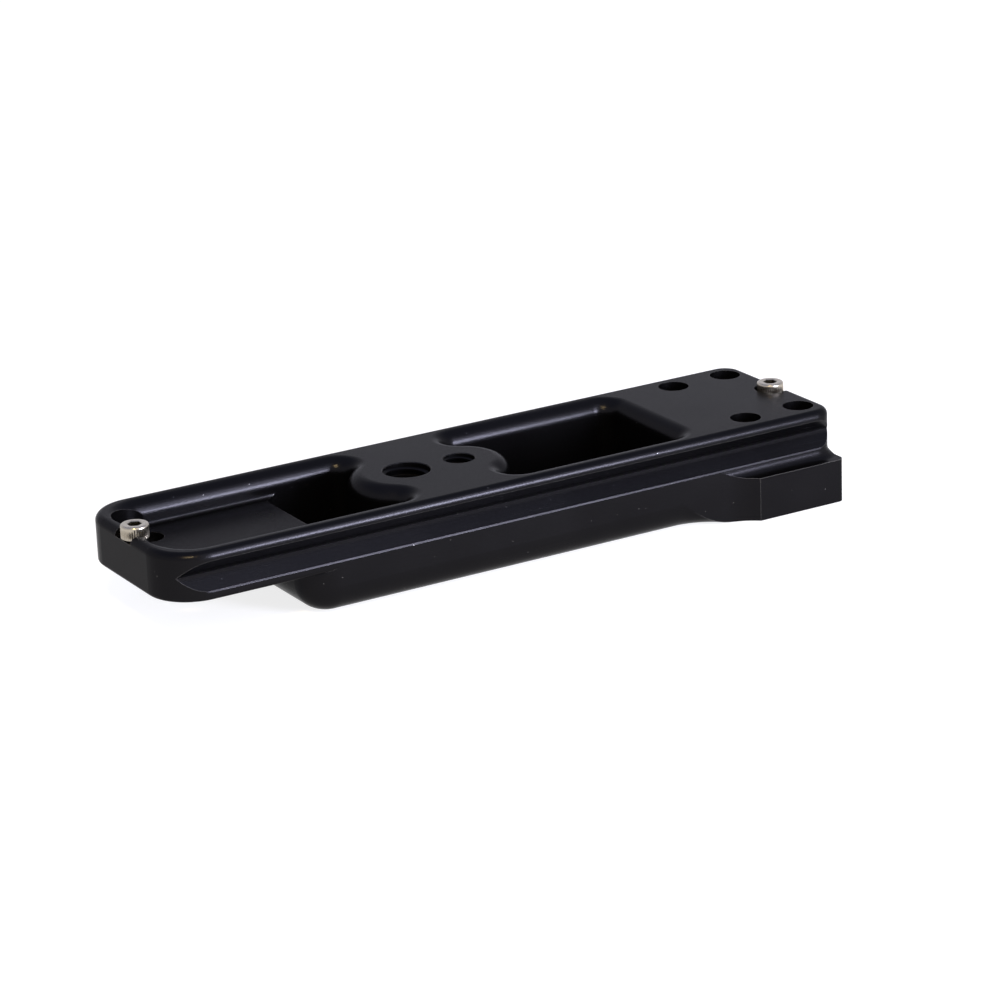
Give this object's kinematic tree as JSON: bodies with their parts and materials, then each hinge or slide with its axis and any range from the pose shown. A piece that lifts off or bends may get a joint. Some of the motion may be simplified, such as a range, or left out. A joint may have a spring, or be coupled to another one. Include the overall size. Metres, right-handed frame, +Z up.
{
  "type": "lens collar foot",
  "caption": "Long machined foot that bolts under a lens collar: dovetail rail on top with pockets, tapped holes on a boss, end stop screws, and a wide flared seat for the lens.",
  "frame": {"origin": "on the underside, at the centre of the rectangle of lens screw holes", "axes": "+X along the foot to the lens seat's end, +Y across it, +Z up to the dovetail face"},
  "size_m": [0.1512, 0.0444, 0.0204],
  "materials": {
    "anodised_black": "satin black anodised",
    "screw_steel": "bright stainless, knurled heads"
  },
  "bodies": {
    "root": {"foot_body": "anodised_black", "stop_screws": "screw_steel"}
  },
  "joints": []
}
